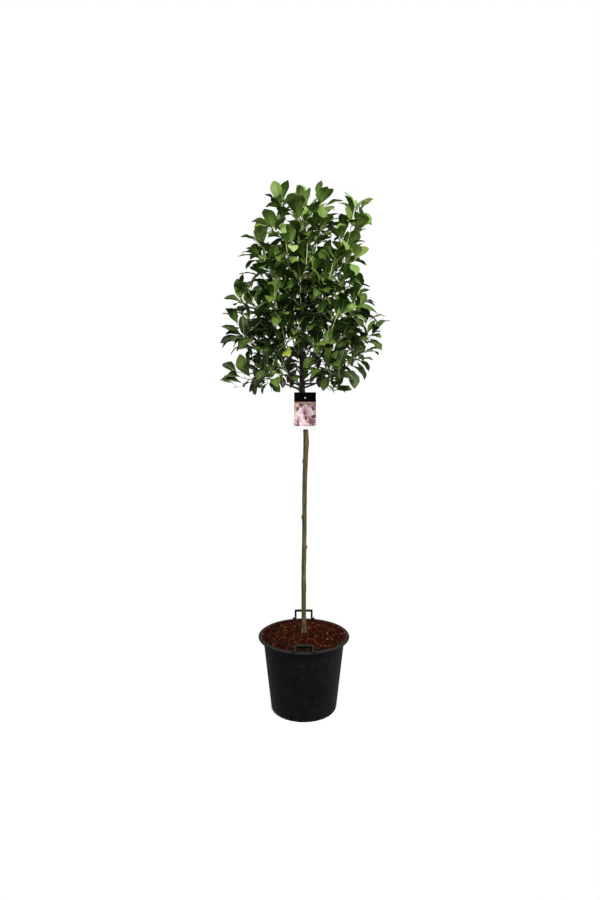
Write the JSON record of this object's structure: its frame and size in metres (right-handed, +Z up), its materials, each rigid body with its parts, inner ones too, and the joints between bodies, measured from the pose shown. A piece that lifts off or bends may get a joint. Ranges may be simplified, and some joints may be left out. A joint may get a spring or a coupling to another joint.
{
  "type": "potted saucer magnolia",
  "caption": "Young broad-leaved tree on a slender clear stem, in a round black nursery pot with swinging lifting handles and a plain picture tag.",
  "frame": {"origin": "centre of the pot's flat underside, on the surface that it stands on", "axes": "+Z up along the stem, -Y the plant's front with the tag, +X to the viewer's right"},
  "size_m": [0.7042, 0.6509, 2.2494],
  "materials": {
    "pot_plastic": "matt black moulded polypropylene",
    "potting_mix": "rough dark brown bark and coir pieces",
    "stem_bark": "smooth olive grey bark",
    "bough_bark": "dark brown young bark",
    "leaf": "mid-green leaf with a soft sheen",
    "tag_card": "printed card",
    "strap_plastic": "black band"
  },
  "bodies": {
    "root": {"pot": "pot_plastic", "soil": "potting_mix", "trunk": "stem_bark", "tag": "tag_card", "tag_strap": "strap_plastic", "bough_lower_left": "bough_bark", "bough_low_front_right": "bough_bark", "bough_low_back_left": "bough_bark", "bough_low_front_left": "bough_bark", "bough_lower_right": "bough_bark", "bough_low_back_right": "bough_bark", "bough_front_right": "bough_bark", "bough_left": "bough_bark", "bough_low_back": "bough_bark", "bough_front_left": "bough_bark", "bough_right": "bough_bark", "bough_left_middle": "bough_bark", "bough_back": "bough_bark", "bough_upper_right": "bough_bark", "bough_back_right": "bough_bark", "bough_back_left": "bough_bark", "bough_front": "bough_bark", "bough_front_right_upper": "bough_bark", "bough_left_upper": "bough_bark", "bough_upper_left": "bough_bark", "bough_front_upper": "bough_bark", "bough_upper_middle": "bough_bark", "bough_upper_back": "bough_bark", "foliage_lower_left": "leaf", "foliage_low_front_right": "leaf", "foliage_low_back_left": "leaf", "foliage_low_front_left": "leaf", "foliage_lower_right": "leaf", "foliage_low_back_right": "leaf", "foliage_front_right": "leaf", "foliage_left": "leaf", "foliage_low_back": "leaf", "foliage_front_left": "leaf", "foliage_right": "leaf", "foliage_left_middle": "leaf", "foliage_back": "leaf", "foliage_upper_right": "leaf", "foliage_back_right": "leaf", "foliage_back_left": "leaf", "foliage_front": "leaf", "foliage_front_right_upper": "leaf", "foliage_left_upper": "leaf", "foliage_upper_left": "leaf", "foliage_front_upper": "leaf", "foliage_upper_middle": "leaf", "foliage_upper_back": "leaf", "foliage_leader": "leaf"},
    "handle_front": {"handle_front": "pot_plastic"},
    "handle_back": {"handle_back": "pot_plastic"}
  },
  "joints": [
    {"name": "front_handle_hinge", "type": "hinge", "parent": "root", "child": "handle_front", "pos_m": [0, -0.187, 0.3335], "axis": [1, 0, 0], "range_deg": [0, 158]},
    {"name": "back_handle_hinge", "type": "hinge", "parent": "root", "child": "handle_back", "pos_m": [0, 0.187, 0.3335], "axis": [-1, 0, 0], "range_deg": [0, 86]}
  ]
}
